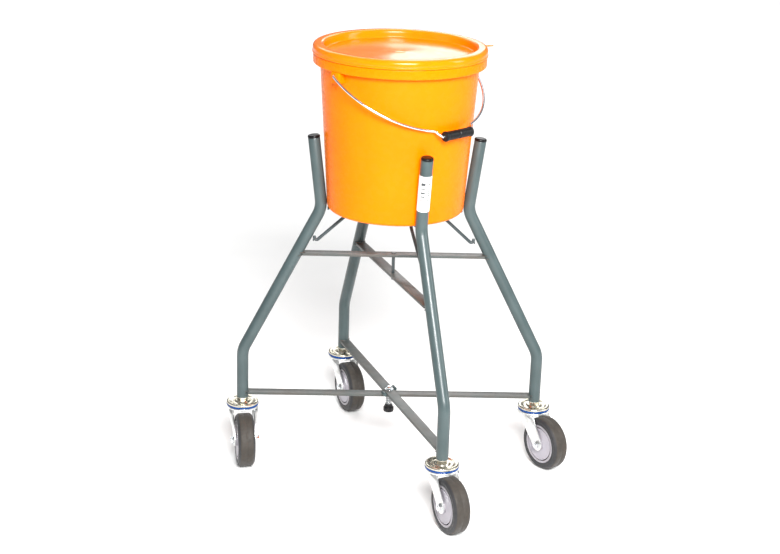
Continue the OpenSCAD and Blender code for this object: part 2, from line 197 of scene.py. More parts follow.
def settle(name: str) -> bpy.types.Object:
    """Names the new object, puts its place into its mesh and opens it for editing.

    Args:
        name: the object's name.

    Returns:
        The object, in edit mode with all of it selected.
    """
    piece = bpy.context.object
    piece.name = piece.data.name = name
    bpy.ops.object.transform_apply(location=True, rotation=True, scale=True)
    bpy.ops.object.mode_set(mode="EDIT")
    bpy.ops.mesh.select_all(action="SELECT")
    return piece


def close_up(piece: bpy.types.Object, smooth: float = 40.0) -> bpy.types.Object:
    """Merges doubles, points the faces outwards and shades the piece.

    Args:
        piece: the object, in edit mode.
        smooth: angle in degrees below which edges are shaded smooth.

    Returns:
        The same object, in object mode.
    """
    bpy.ops.mesh.select_all(action="SELECT")
    bpy.ops.mesh.remove_doubles(threshold=1e-6)
    bpy.ops.mesh.normals_make_consistent(inside=False)
    bpy.ops.object.mode_set(mode="OBJECT")
    bpy.ops.object.shade_smooth_by_angle(angle=math.radians(smooth))
    return piece


def pull(offset: Vector) -> None:
    """Extrudes the selection by an offset in millimetres."""
    bpy.ops.mesh.extrude_region_move(TRANSFORM_OT_translate={"value": tuple(offset * MM)})


def swing(angle: float, centre: Vector, axis: Vector, steps: int) -> None:
    """Spins the selection round an axis, by the right-hand rule.

    Args:
        angle: angle in radians.
        centre: a point on the axis, in millimetres.
        axis: direction of the axis.
        steps: number of segments.
    """
    bpy.ops.mesh.spin(steps=steps, angle=-angle, center=centre * MM, axis=axis)


def draw_line(name: str, points: Iterable[Vector]) -> bpy.types.Object:
    """Draws a line of vertices, from one vertex extruded point by point.

    Args:
        name: the object's name.
        points: the line's points, in millimetres.

    Returns:
        The object, in edit mode.
    """
    route = [Vector(p) for p in points]
    deselect_all()
    bpy.ops.mesh.primitive_plane_add(size=MM, location=route[0] * MM)
    line = settle(name)
    bpy.ops.mesh.merge(type="CENTER")
    for before, after in zip(route, route[1:]):
        pull(after - before)
    bpy.ops.mesh.select_all(action="SELECT")
    return line


def turn(name: str, outline: Sequence[Pair], steps: int = 96, smooth: float = 40.0) -> bpy.types.Object:
    """Turns an outline round the Z axis, as on a lathe.

    Args:
        name: the object's name.
        outline: radius and height of each point, in millimetres.
        steps: number of segments round.
        smooth: angle in degrees below which edges are shaded smooth.

    Returns:
        The turned piece.
    """
    piece = draw_line(name, [Vector((r, 0, z)) for r, z in outline])
    swing(math.tau, Vector(), Vector((0, 0, 1)), steps)
    return close_up(piece, smooth)


def closed(outline: Sequence[Pair]) -> list[Pair]:
    """An outline that ends where it starts."""
    return [*outline, outline[0]]


def bend_rod(name: str, corners: Sequence[Vector], bends: Sequence[float], radius: float,
             sides: int = 20, fineness: float = 6.0) -> bpy.types.Object:
    """Draws a round bar along straight runs, with a bend at each inner corner.

    Args:
        name: the object's name.
        corners: the corners of the centre line, in millimetres.
        bends: radius of the centre line at each corner, 0 at the two ends.
        radius: radius of the bar.
        sides: number of sides of its section.
        fineness: degrees of bend for each segment.

    Returns:
        The closed bar.
    """
    route = [Vector(c) for c in corners]
    runs = [(b - a).normalized() for a, b in zip(route, route[1:])]
    trims = [0.0] * len(route)
    for i in range(1, len(route) - 1):
        trims[i] = bends[i] * math.tan(runs[i - 1].angle(runs[i]) / 2)
    deselect_all()
    facing = runs[0].to_track_quat("Z", "Y").to_euler()
    bpy.ops.mesh.primitive_circle_add(
        vertices=sides, radius=radius * MM, fill_type="NGON", location=route[0] * MM, rotation=facing
    )
    bar = settle(name)
    for i, run in enumerate(runs):
        length = (route[i + 1] - route[i]).length - trims[i] - trims[i + 1]
        pull(run * length)
        if i + 1 < len(runs):
            axis = run.cross(runs[i + 1]).normalized()
            angle = run.angle(runs[i + 1])
            entry = route[i + 1] - run * trims[i + 1]
            centre = entry + axis.cross(run) * bends[i + 1]
            swing(angle, centre, axis, max(3, round(math.degrees(angle) / fineness)))
    bar_end_rounding = radius * 0.12
    bpy.ops.mesh.bevel(offset=bar_end_rounding * MM, segments=2, affect="EDGES")
    return close_up(bar)


def bevelled_block(name: str, size: Corner, centre: Corner, bevel: float,
                   segments: int = 3) -> bpy.types.Object:
    """A block with eased edges.

    Args:
        name: the object's name.
        size: length, width and height in millimetres.
        centre: middle of the block in millimetres.
        bevel: width of the eased edges in millimetres.
        segments: number of segments across an eased edge.

    Returns:
        The block.
    """
    deselect_all()
    bpy.ops.mesh.primitive_cube_add(size=MM, location=Vector(centre) * MM, scale=size)
    block = settle(name)
    bpy.ops.mesh.bevel(offset=bevel * MM, segments=segments, affect="EDGES")
    return close_up(block)


def hexagon(name: str, across: float, low: float, high: float, ease: float) -> bpy.types.Object:
    """A hexagonal prism on the Z axis with its edges eased.

    Args:
        name: the object's name.
        across: radius to the corners in millimetres.
        low: height of its lower face.
        high: height of its upper face.
        ease: width of the eased edges.

    Returns:
        The prism.
    """
    deselect_all()
    bpy.ops.mesh.primitive_cylinder_add(
        vertices=6, radius=across * MM, depth=(high - low) * MM, location=(0, 0, (high + low) / 2 * MM)
    )
    prism = settle(name)
    bpy.ops.mesh.bevel(offset=ease * MM, segments=2, affect="EDGES")
    return close_up(prism, 30)


def finish_with(piece: bpy.types.Object, kind: str, **settings: object) -> None:
    """Adds a modifier with its settings and applies it.

    Args:
        piece: the object.
        kind: Blender's name for the modifier.
        settings: its settings, by name.
    """
    deselect_all()
    piece.select_set(True)
    bpy.context.view_layer.objects.active = piece
    added = piece.modifiers.new(kind.title(), kind)
    for key, value in settings.items():
        setattr(added, key, value)
    bpy.ops.object.modifier_apply(modifier=added.name)


def join(name: str, parts: Sequence[bpy.types.Object]) -> bpy.types.Object:
    """Joins parts into one piece.

    Args:
        name: the piece's name.
        parts: the parts, of which the first keeps its shading.

    Returns:
        The joined piece.
    """
    deselect_all()
    for part in parts:
        part.select_set(True)
    bpy.context.view_layer.objects.active = parts[0]
    bpy.ops.object.join()
    piece = bpy.context.object
    piece.name = piece.data.name = name
    return piece


def put(piece: bpy.types.Object, place: Matrix) -> bpy.types.Object:
    """Moves a piece's mesh by a matrix with offsets in millimetres, and leaves its object at the origin."""
    in_metres = place.copy()
    in_metres.translation = place.translation * MM
    piece.data.transform(in_metres)
    piece.data.update()
    return piece


def copy_to(source: bpy.types.Object, name: str, place: Matrix) -> bpy.types.Object:
    """Copies a piece with its own mesh and puts the copy in its place.

    Args:
        source: the piece to copy.
        name: the copy's name.
        place: the copy's place, with offsets in millimetres.

    Returns:
        The copy.
    """
    made = source.copy()
    made.data = source.data.copy()
    made.name = made.data.name = name
    bpy.context.collection.objects.link(made)
    return put(made, place)


def discard(*pieces: bpy.types.Object) -> None:
    """Removes the patterns that copies were made from."""
    for piece in pieces:
        bpy.data.objects.remove(piece, do_unlink=True)


# ---------------------------------------------------------------- finishes


def shade(hex_code: str) -> tuple[float, float, float, float]:
    """Turns an sRGB hex colour into the linear colour that a shader takes.

    Args:
        hex_code: a colour such as "#788789".

    Returns:
        Linear red, green, blue and an alpha of 1.
    """
    parts = [int(hex_code[i : i + 2], 16) / 255 for i in (1, 3, 5)]
    linear = [c / 12.92 if c <= 0.04045 else ((c + 0.055) / 1.055) ** 2.4 for c in parts]
    return (*linear, 1.0)


def add_node(tree: bpy.types.NodeTree, kind: str, settings: Optional[dict] = None,
             values: Optional[dict] = None, links: Optional[dict] = None) -> bpy.types.Node:
    """Adds one node.

    Args:
        tree: the material's node tree.
        kind: Blender's name for the node.
        settings: its own settings, by name.
        values: constants for its sockets, by name or number.
        links: output sockets that feed its sockets, by name or number.

    Returns:
        The node.
    """
    node = tree.nodes.new(kind)
    for key, value in (settings or {}).items():
        setattr(node, key, value)
    for key, value in (values or {}).items():
        node.inputs[key].default_value = value
    for key, source in (links or {}).items():
        tree.links.new(source, node.inputs[key])
    return node


class Surface:
    """One material's nodes, from the object's own coordinates to its shader."""

    def __init__(self, name: str) -> None:
        """Starts an empty material with a shader and its output."""
        self.material = bpy.data.materials.new(name)
        self.material.use_nodes = True
        self.tree = self.material.node_tree
        self.tree.nodes.clear()
        self.shader = add_node(self.tree, "ShaderNodeBsdfPrincipled")
        add_node(self.tree, "ShaderNodeOutputMaterial", links={"Surface": self.shader.outputs[0]})
        self.place = add_node(self.tree, "ShaderNodeTexCoord").outputs["Object"]

    def set(self, **values: object) -> None:
        """Sets shader sockets to constants; an underscore in a name stands for a space."""
        for key, value in values.items():
            self.shader.inputs[key.replace("_", " ")].default_value = value

    def noise(self, grain_mm: float, detail: float = 2.0,
              stretch: Corner = (1, 1, 1)) -> bpy.types.NodeSocket:
        """Cloudy pattern with lumps of a given size.

        Args:
            grain_mm: size of a lump in millimetres.
            detail: levels of finer lumps in it.
            stretch: how many times closer the lumps are along each axis.

        Returns:
            The pattern's value socket.
        """
        where = add_node(
            self.tree, "ShaderNodeMapping", values={"Scale": stretch}, links={"Vector": self.place}
        )
        return add_node(
            self.tree, "ShaderNodeTexNoise",
            values={"Scale": 1 / (grain_mm * MM), "Detail": detail, "Roughness": 0.55},
            links={"Vector": where.outputs[0]},
        ).outputs[0]

    def ramp(self, source: bpy.types.NodeSocket, low: Sequence[float], high: Sequence[float],
             start: float = 0.35, end: float = 0.65) -> bpy.types.NodeSocket:
        """Blends two colours by a pattern.

        Args:
            source: the pattern.
            low: colour where the pattern is low.
            high: colour where it is high.
            start: pattern value where the blend starts.
            end: pattern value where it ends.

        Returns:
            The colour socket.
        """
        node = add_node(self.tree, "ShaderNodeValToRGB", links={"Fac": source})
        ends = node.color_ramp.elements
        ends[0].position, ends[1].position = start, end
        ends[0].color, ends[1].color = low, high
        return node.outputs["Color"]

    def spread(self, source: bpy.types.NodeSocket, low: float, high: float) -> bpy.types.NodeSocket:
        """Maps a cloudy pattern to numbers from low to high."""
        return add_node(
            self.tree, "ShaderNodeMapRange",
            values={"From Min": 0.3, "From Max": 0.7, "To Min": low, "To Max": high}, links={"Value": source},
        ).outputs[0]

    def feed(self, socket: str, source: bpy.types.NodeSocket) -> None:
        """Links a pattern to one of the shader's sockets."""
        self.tree.links.new(source, self.shader.inputs[socket])

    def relief(self, source: bpy.types.NodeSocket, depth_mm: float, strength: float = 1.0) -> None:
        """Gives the surface a relief.

        Args:
            source: pattern of heights from 0 to 1.
            depth_mm: height of its lumps in millimetres.
            strength: share of the relief that shows.
        """
        bump = add_node(
            self.tree, "ShaderNodeBump", values={"Distance": depth_mm * MM, "Strength": strength},
            links={"Height": source},
        )
        self.tree.links.new(bump.outputs[0], self.shader.inputs["Normal"])


@dataclass(frozen=True)
class StovedEnamel:
    """Stoving enamel sprayed on steel: half-gloss, with the faint orange peel of the sprayed coat."""

    name: str
    colour: str
    dusty: str
    roughness: float = 0.34
    peel_mm: float = 2.2
    fade_mm: float = 55.0

    def make(self) -> bpy.types.Material:
        """Builds the material."""
        coat = Surface(self.name)
        coat.set(IOR=1.5, Specular_IOR_Level=0.35, Coat_Weight=0.15, Coat_Roughness=0.16)
        coat.feed("Base Color", coat.ramp(coat.noise(self.fade_mm, 4), shade(self.colour), shade(self.dusty)))
        coat.feed("Roughness", coat.spread(coat.noise(18, 3), self.roughness - 0.05, self.roughness + 0.09))
        coat.relief(coat.noise(self.peel_mm, 1), 0.05, 0.55)
        return coat.material


@dataclass(frozen=True)
class ZincPlate:
    """Bright zinc plated on pressed steel: mottled, with cloudy patches of duller crystal."""

    name: str
    colour: str
    cloudy: str
    roughness: float = 0.22
    grain_mm: float = 9.0
    dents: float = 0.35

    def make(self) -> bpy.types.Material:
        """Builds the material."""
        plate = Surface(self.name)
        plate.set(Metallic=1.0)
        patches = plate.noise(self.grain_mm, 5)
        plate.feed("Base Color", plate.ramp(patches, shade(self.cloudy), shade(self.colour), 0.32, 0.6))
        plate.feed(
            "Roughness",
            plate.spread(plate.noise(self.grain_mm / 2, 4), self.roughness + 0.12, self.roughness - 0.05),
        )
        plate.relief(plate.noise(self.grain_mm * 0.8, 2), 0.12, self.dents)
        return plate.material


@dataclass(frozen=True)
class MouldedPlastic:
    """Injection-moulded plastic: the gloss of the tool's face, with faint flow clouds and sink."""

    name: str
    colour: str
    flow: str
    roughness: float
    texture_mm: float = 1.6
    texture_depth_mm: float = 0.02
    flow_mm: float = 70.0
    depth_of_light_mm: float = 0.0
    coat: float = 0.0
    sheen: float = 0.5

    def make(self) -> bpy.types.Material:
        """Builds the material."""
        moulding = Surface(self.name)
        moulding.set(IOR=1.49, Specular_IOR_Level=self.sheen, Coat_Weight=self.coat, Coat_Roughness=0.06)
        if self.depth_of_light_mm:
            moulding.set(Subsurface_Weight=0.18, Subsurface_Scale=self.depth_of_light_mm * MM)
            moulding.set(Subsurface_Radius=(1.0, 0.35, 0.08))
        clouds = moulding.noise(self.flow_mm, 3, (1, 1, 0.45))
        moulding.feed("Base Color", moulding.ramp(clouds, shade(self.flow), shade(self.colour)))
        moulding.feed(
            "Roughness", moulding.spread(moulding.noise(12, 3), self.roughness - 0.04, self.roughness + 0.06)
        )
        moulding.relief(moulding.noise(self.texture_mm, 2), self.texture_depth_mm, 0.6)
        return moulding.material


@dataclass(frozen=True)
class MouldedRubber:
    """Moulded elastomer: matt, finely pitted, with a bloom of dust where it rolls."""

    name: str
    colour: str
    dust: str
    roughness: float = 0.6
    pits_mm: float = 1.1

    def make(self) -> bpy.types.Material:
        """Builds the material."""
        rubber = Surface(self.name)
        rubber.set(IOR=1.52, Sheen_Weight=0.08, Sheen_Roughness=0.5)
        rubber.feed(
            "Base Color", rubber.ramp(rubber.noise(14, 5), shade(self.colour), shade(self.dust), 0.3, 0.75)
        )
        rubber.feed(
            "Roughness", rubber.spread(rubber.noise(6, 3), self.roughness - 0.08, self.roughness + 0.12)
        )
        rubber.relief(rubber.noise(self.pits_mm, 3), 0.09, 0.6)
        return rubber.material


@dataclass(frozen=True)
class PrintedVinyl:
    """White self-adhesive vinyl, printed with a column of bars and a column of small blocks."""

    name: str
    paper: str
    ink: str
    low_mm: float
    high_mm: float
    heading: float
    bars: tuple[Pair, ...] = (
        (0.30, 0.33), (0.35, 0.36), (0.40, 0.44), (0.46, 0.47), (0.50, 0.55),
        (0.58, 0.59), (0.62, 0.65), (0.68, 0.69), (0.72, 0.80), (0.83, 0.85),
    )
    blocks: tuple[Pair, ...] = (
        (0.30, 0.35), (0.37, 0.41), (0.43, 0.48), (0.50, 0.54),
        (0.56, 0.60), (0.62, 0.67), (0.69, 0.73), (0.75, 0.79),
    )
    bar_column: Pair = (0.08, 0.36)
    block_column: Pair = (0.58, 0.72)

    def bands(self, vinyl: Surface, source: bpy.types.NodeSocket, marks: Sequence[Pair], on: str,
              off: str) -> bpy.types.NodeSocket:
        """Prints sharp bands along a coordinate.

        Args:
            vinyl: the material.
            source: the coordinate, from 0 to 1.
            marks: start and end of each band.
            on: sRGB colour of the bands.
            off: sRGB colour between them.

        Returns:
            The colour socket.
        """
        ramp = add_node(vinyl.tree, "ShaderNodeValToRGB", links={"Fac": source})
        ramp.color_ramp.interpolation = "CONSTANT"
        stops = ramp.color_ramp.elements
        stops[0].color = shade(off)
        stops[1].position, stops[1].color = 0.995, shade(off)
        for start, end in marks:
            stops.new(start).color = shade(on)
            stops.new(end).color = shade(off)
        return ramp.outputs["Color"]

    def scaled(self, vinyl: Surface, source: bpy.types.NodeSocket, low_mm: float,
               high_mm: float) -> bpy.types.NodeSocket:
        """Maps a distance in the object's own space to 0 at low_mm and 1 at high_mm."""
        ends = {"From Min": low_mm * MM, "From Max": high_mm * MM, "To Min": 0.0, "To Max": 1.0}
        return add_node(vinyl.tree, "ShaderNodeMapRange", values=ends, links={"Value": source}).outputs[0]

    def make(self) -> bpy.types.Material:
        """Builds the material from the height up the sticker and the distance across it."""
        vinyl = Surface(self.name)
        vinyl.set(IOR=1.46, Roughness=0.32)
        height = add_node(vinyl.tree, "ShaderNodeSeparateXYZ", links={"Vector": vinyl.place}).outputs["Z"]
        tangent = (-math.sin(self.heading), math.cos(self.heading), 0)
        across = add_node(
            vinyl.tree, "ShaderNodeVectorMath", {"operation": "DOT_PRODUCT"}, {1: tangent}, {0: vinyl.place}
        ).outputs["Value"]
        up = self.scaled(vinyl, height, self.low_mm, self.high_mm)
        over = self.scaled(vinyl, across, -11.4, 11.4)
        print_colour = self.bands(vinyl, up, (), self.paper, self.paper)
        for column, marks in ((self.bar_column, self.bars), (self.block_column, self.blocks)):
            inside = self.bands(vinyl, over, (column,), "#ffffff", "#000000")
            inked = self.bands(vinyl, up, marks, self.ink, self.paper)
            print_colour = add_node(
                vinyl.tree, "ShaderNodeMixRGB", links={"Fac": inside, "Color1": print_colour, "Color2": inked}
            ).outputs["Color"]
        vinyl.feed("Base Color", print_colour)
        vinyl.relief(vinyl.noise(5, 2), 0.03, 0.5)
        return vinyl.material


@dataclass(frozen=True)
class StudioFloor:
    """Pale painted studio floor: matt, with the faintest roller marks."""

    name: str = "matt studio paint"
    colour: str = "#f4f4f3"

    def make(self) -> bpy.types.Material:
        """Builds the material."""
        paint = Surface(self.name)
        paint.feed("Base Color", paint.ramp(paint.noise(300, 2), shade("#f1f1f0"), shade(self.colour)))
        paint.set(Roughness=0.85, IOR=1.4)
        return paint.material


class Finishes:
    """The finishes of the whole object, each made once and handed to the pieces by its slot."""

    def __init__(self) -> None:
        """Makes every finish."""
        label_low, label_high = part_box("label_sleeve")
        self.of_slot: dict[str, bpy.types.Material] = {
            # Grey-green enamel: half-gloss, so each tube shows one long soft highlight.
            "frame_paint": StovedEnamel("grey-green stoving enamel", "#3c494a", "#455253").make(),
            # The same enamel on the flat bars, where dust and scuffs turn it browner.
            "tie_paint": StovedEnamel("scuffed grey-green enamel", "#464d4c", "#4e4c48", 0.4).make(),
            # A thinner coat on the rods shows more of the steel's sheen.
            "rod_paint": StovedEnamel("thin grey-green enamel on rod", "#343c3e", "#424a4c", 0.3).make(),
            # Low-density polyethylene: waxy black with a soft highlight.
            "cap_plastic": MouldedPlastic("black polyethylene", "#0b0b0c", "#121214", 0.3, sheen=0.25).make(),
            # Zinc with a clear chromate dip: bright and a little straw-coloured.
            "head_zinc": ZincPlate("straw chromated zinc", "#d8d4c6", "#c9c3b0", 0.22, 12.0, 0.08).make(),
            # Coloured polypropylene with the tool's gloss.
            "seal_plastic": MouldedPlastic(
                "blue polypropylene", "#053d80", "#053874", 0.25, coat=0.15, sheen=0.3
            ).make(),
            # Barrel-plated pressing: white, cloudy and slightly dented.
            "fork_zinc": ZincPlate("cloudy bright zinc", "#eeefee", "#cdcecb", 0.3, 14.0, 0.3).make(),
            # Bolts keep a brighter, bluer zinc.
            "bolt_zinc": ZincPlate("blue-white zinc", "#f0f3f5", "#cdd3d6", 0.16, 4.0, 0.25).make(),
            # Spring wire: the same zinc, a little duller.
            "spring_steel": ZincPlate("zinc on spring wire", "#d8dadb", "#b4b6b6", 0.25, 3.0, 0.2).make(),
            # Thermoplastic rubber, charcoal on its sides.
            "tyre_rubber": MouldedRubber("charcoal rubber", "#1d1d1f", "#29292c").make(),
            # Light grey polypropylene, a little waxy.
            "hub_plastic": MouldedPlastic("light grey polypropylene", "#9f9ba1", "#969297", 0.36).make(),
            "guard_plastic": MouldedPlastic("pale grey polypropylene", "#a5a1aa", "#9b979e", 0.34).make(),
            # Phenolic knob: hard black with a dull polish.
            "knob_plastic": MouldedPlastic(
                "black phenolic", "#0b0b0c", "#111113", 0.3, coat=0.2, sheen=0.25
            ).make(),
            "label_vinyl": PrintedVinyl(
                "white printed vinyl", "#f2f2f0", "#3a3d40", label_low.z / MM, label_high.z / MM,
                leg_heading(Side.FRONT),
            ).make(),
            # High-density polyethylene: glossy, and light goes a little way into it.
            "pail_plastic": MouldedPlastic(
                "orange high-density polyethylene", "#ff7a00", "#fb7500", 0.26, flow_mm=120,
                depth_of_light_mm=3, sheen=0.08
            ).make(),
            # Polypropylene lid: a shade more gloss than the pail.
            "lid_plastic": MouldedPlastic(
                "orange polypropylene", "#ff7c00", "#fc7800", 0.14, flow_mm=120, depth_of_light_mm=3,
                sheen=0.3
            ).make(),
            "tab_plastic": MouldedPlastic("orange polypropylene strip", "#ff7208", "#f86a04", 0.25).make(),
            # Bright drawn wire under zinc: nearly a mirror.
            "bail_wire": ZincPlate("bright zinc on drawn wire", "#eef0f4", "#d5d8de", 0.1, 5.0, 0.15).make(),
            "grip_plastic": MouldedPlastic(
                "black polypropylene grip", "#0e0e0f", "#151517", 0.42, 1.0, 0.05, sheen=0.25
            ).make(),
        }
        # Rubber where it rolls: the same mix, browned by dust.
        self.tread = MouldedRubber("dusty brown-grey rubber", "#2b2620", "#38322b", 0.66).make()
        self.floor = StudioFloor().make()

    def dress(self, piece: bpy.types.Object, slot: str, *extra: bpy.types.Material) -> bpy.types.Object:
        """Gives a piece the finish of the slot that it came from.

        Args:
            piece: the piece.
            slot: the material slot of the record.
            extra: further materials for faces that have a number of their own.

        Returns:
            The same piece.
        """
        piece.data.materials.clear()
        piece.data.materials.append(self.of_slot[slot])
        for material in extra:
            piece.data.materials.append(material)
        return piece

    def dress_node(self, node: str, slot: str) -> None:
        """Gives a CAD node that stays in view its finish."""
        shown = frame["nodes"][node]
        for holder in shown.material_slots:
            holder.material = self.of_slot[slot]


def install(piece: bpy.types.Object, body: str, *nodes: str) -> bpy.types.Object:
    """Makes a piece ride on its body and stand for its CAD nodes.

    Args:
        piece: the finished piece.
        body: the body that it moves with.
        nodes: the CAD nodes that it replaces.

    Returns:
        The same piece.
    """
    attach(piece, body)
    if nodes:
        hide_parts(*nodes)
    log.info("%s rides on %s with %d faces", piece.name, body, len(piece.data.polygons))
    return piece


# ---------------------------------------------------------------- the stand


@dataclass
class Leg:
    """One bent tube with its cap, its rest and the weld beads on it."""

    side: Side
    finishes: Finishes
    tube_r: float = 11.0
    bend_r: float = 50.0
    line: tuple[Pair, ...] = ((278, 122), (278, 217), (134.5, 498.5), (150.5, 630))
    rest_r: float = 3.0
    rest_inner: float = 74.0
    rest_z: float = 498.0

    @property
    def shank_lean(self) -> float:
        """Lean of the long sloping run from upright, in radians."""
        (low_r, low_z), (high_r, high_z) = self.line[1:3]
        return math.atan((low_r - high_r) / (high_z - low_z))

    def tube_radius_at(self, z: float) -> float:
        """Distance of the tube's centre line from the pivot axis at a height."""
        (low_r, low_z), (high_r, high_z) = self.line[1:3]
        return low_r if z < low_z else high_r + (high_z - z) * (low_r - high_r) / (high_z - low_z)

    def make_tube(self) -> bpy.types.Object:
        """Bends the leg tube."""
        corners = [Vector((r, 0, z)) for r, z in self.line]
        bends = [0, self.bend_r, self.bend_r, 0]
        tube = bend_rod(f"leg_tube_{self.side.value}", corners, bends, self.tube_r, sides=48, fineness=3)
        return self.finishes.dress(put(tube, leg_place(self.side)), "frame_paint")

    def make_cap(self) -> bpy.types.Object:
        """Moulds the domed push-in cap."""
        rim = self.tube_r + 0.3
        plug = self.tube_r - 1.6
        outline = rounded(
            [(0, -12, 0), (plug, -12, 0.8), (plug, 0, 0), (rim, 0, 0.4), (rim, 4.8, 3.2), (0, 5.7, 0)], 8
        )
        cap = turn(f"leg_cap_{self.side.value}", outline, 48)
        (low_r, low_z), (top_r, top_z) = self.line[2:]
        lean = math.atan((top_r - low_r) / (top_z - low_z))
        top = leg_place(self.side) @ Matrix.Translation((top_r, 0, top_z)) @ Matrix.Rotation(lean, 4, "Y")
        return self.finishes.dress(put(cap, top), "cap_plastic")

    def make_rest(self) -> bpy.types.Object:
        """Bends the rod bracket under the pail and runs the weld beads at its two ends."""
        foot_low = self.rest_z - 66.5
        foot_high = foot_low + 12
        foot_r = (
            self.tube_radius_at(foot_high) - (self.tube_r + self.rest_r) / math.cos(self.shank_lean) - 0.1
        )
        start_r = self.line[2][0] - self.tube_r - 0.6
        corners = [
            Vector((start_r, 0, self.rest_z)), Vector((self.rest_inner, 0, self.rest_z)),
            Vector((foot_r, 0, foot_low)), Vector((foot_r, 0, foot_high)),
        ]
        rod = bend_rod("rest_rod", corners, [0, 7, 4, 0], self.rest_r, sides=20)
        upper = self.make_bead("upper_bead", 3.4, 1.1, 360)
        put(upper, Matrix.Translation((start_r - 0.3, 0, self.rest_z)) @ Matrix.Rotation(math.pi / 2, 4, "Y"))
        beads = [
            bend_rod(
                f"lower_bead_{i}",
                [Vector((foot_r + 2.1, y, foot_low + 3)), Vector((foot_r + 0.9, y, foot_high))],
                [0, 0], 1.1, sides=10,
            )
            for i, y in enumerate((-2.2, 2.2))
        ]
        rest = join(f"pail_rest_{self.side.value}", [rod, upper, *beads])
        return self.finishes.dress(put(rest, leg_place(self.side)), "rod_paint")

    def make_bead(self, name: str, ring: float, bead: float, degrees: float) -> bpy.types.Object:
        """Runs a weld bead along an arc in the XY plane, centred on the -X direction.

        Args:
            name: the bead's name.
            ring: radius of the arc in millimetres.
            bead: radius of the bead in millimetres.
            degrees: length of the arc.

        Returns:
            The bead.
        """
        deselect_all()
        first = math.radians(180 - degrees / 2)
        start = Vector((ring * math.cos(first), ring * math.sin(first), 0))
        bpy.ops.mesh.primitive_circle_add(
            vertices=10, radius=bead * MM, location=start * MM, rotation=(math.pi / 2, 0, first),
            fill_type="NOTHING" if degrees >= 360 else "NGON",
        )
        run = settle(name)
        swing(math.radians(degrees), Vector(), Vector((0, 0, 1)), max(12, round(degrees / 10)))
        return close_up(run)

    def build(self) -> None:
        """Makes and installs the leg's pieces."""
        name, body = self.side.value, self.side.frame_body
        install(self.make_tube(), body, f"tube_{name}")
        install(self.make_cap(), body, f"cap_{name}")
        install(self.make_rest(), body, f"rest_{name}")


@dataclass
class Tie:
    """A flat bar welded between two opposite legs."""

    node: str
    leg: Leg
    width: float = 20.0
    thickness: float = 5.0

    def build(self) -> None:
        """Makes the bar with a weld bead over and under each end."""
        low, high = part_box(self.node)
        z = (low.z + high.z) / 2 / MM
        reach = self.leg.tube_radius_at(z)
        lean = self.leg.shank_lean if z > self.leg.line[1][1] else 0.0
        tube_face = (self.leg.tube_r - 1.2) / math.cos(lean)
        bar = bevelled_block("bar", (2 * (reach - tube_face), self.width, self.thickness), (0, 0, z), 0.7)
        beads = []
        seam = math.degrees(math.asin(self.width / 2 / self.leg.tube_r)) * 2
        for end in (0.0, math.pi):
            for face in (-1, 1):
                bead = self.leg.make_bead("bead", self.leg.tube_r + 0.4, 1.2, seam)
                face_z = face * (self.thickness / 2 + 0.3)
                shift = Matrix.Translation((reach - face_z * math.tan(lean), 0, z + face_z))
                stretch = Matrix.Diagonal((1 / math.cos(lean), 1, 1, 1))
                put(bead, Matrix.Rotation(end, 4, "Z") @ shift @ stretch)
                beads.append(bead)
        tie = join(f"{self.node}_bar", [bar, *beads])
        put(tie, leg_place(self.leg.side))
        install(self.leg.finishes.dress(tie, "tie_paint"), self.leg.side.frame_body, self.node)


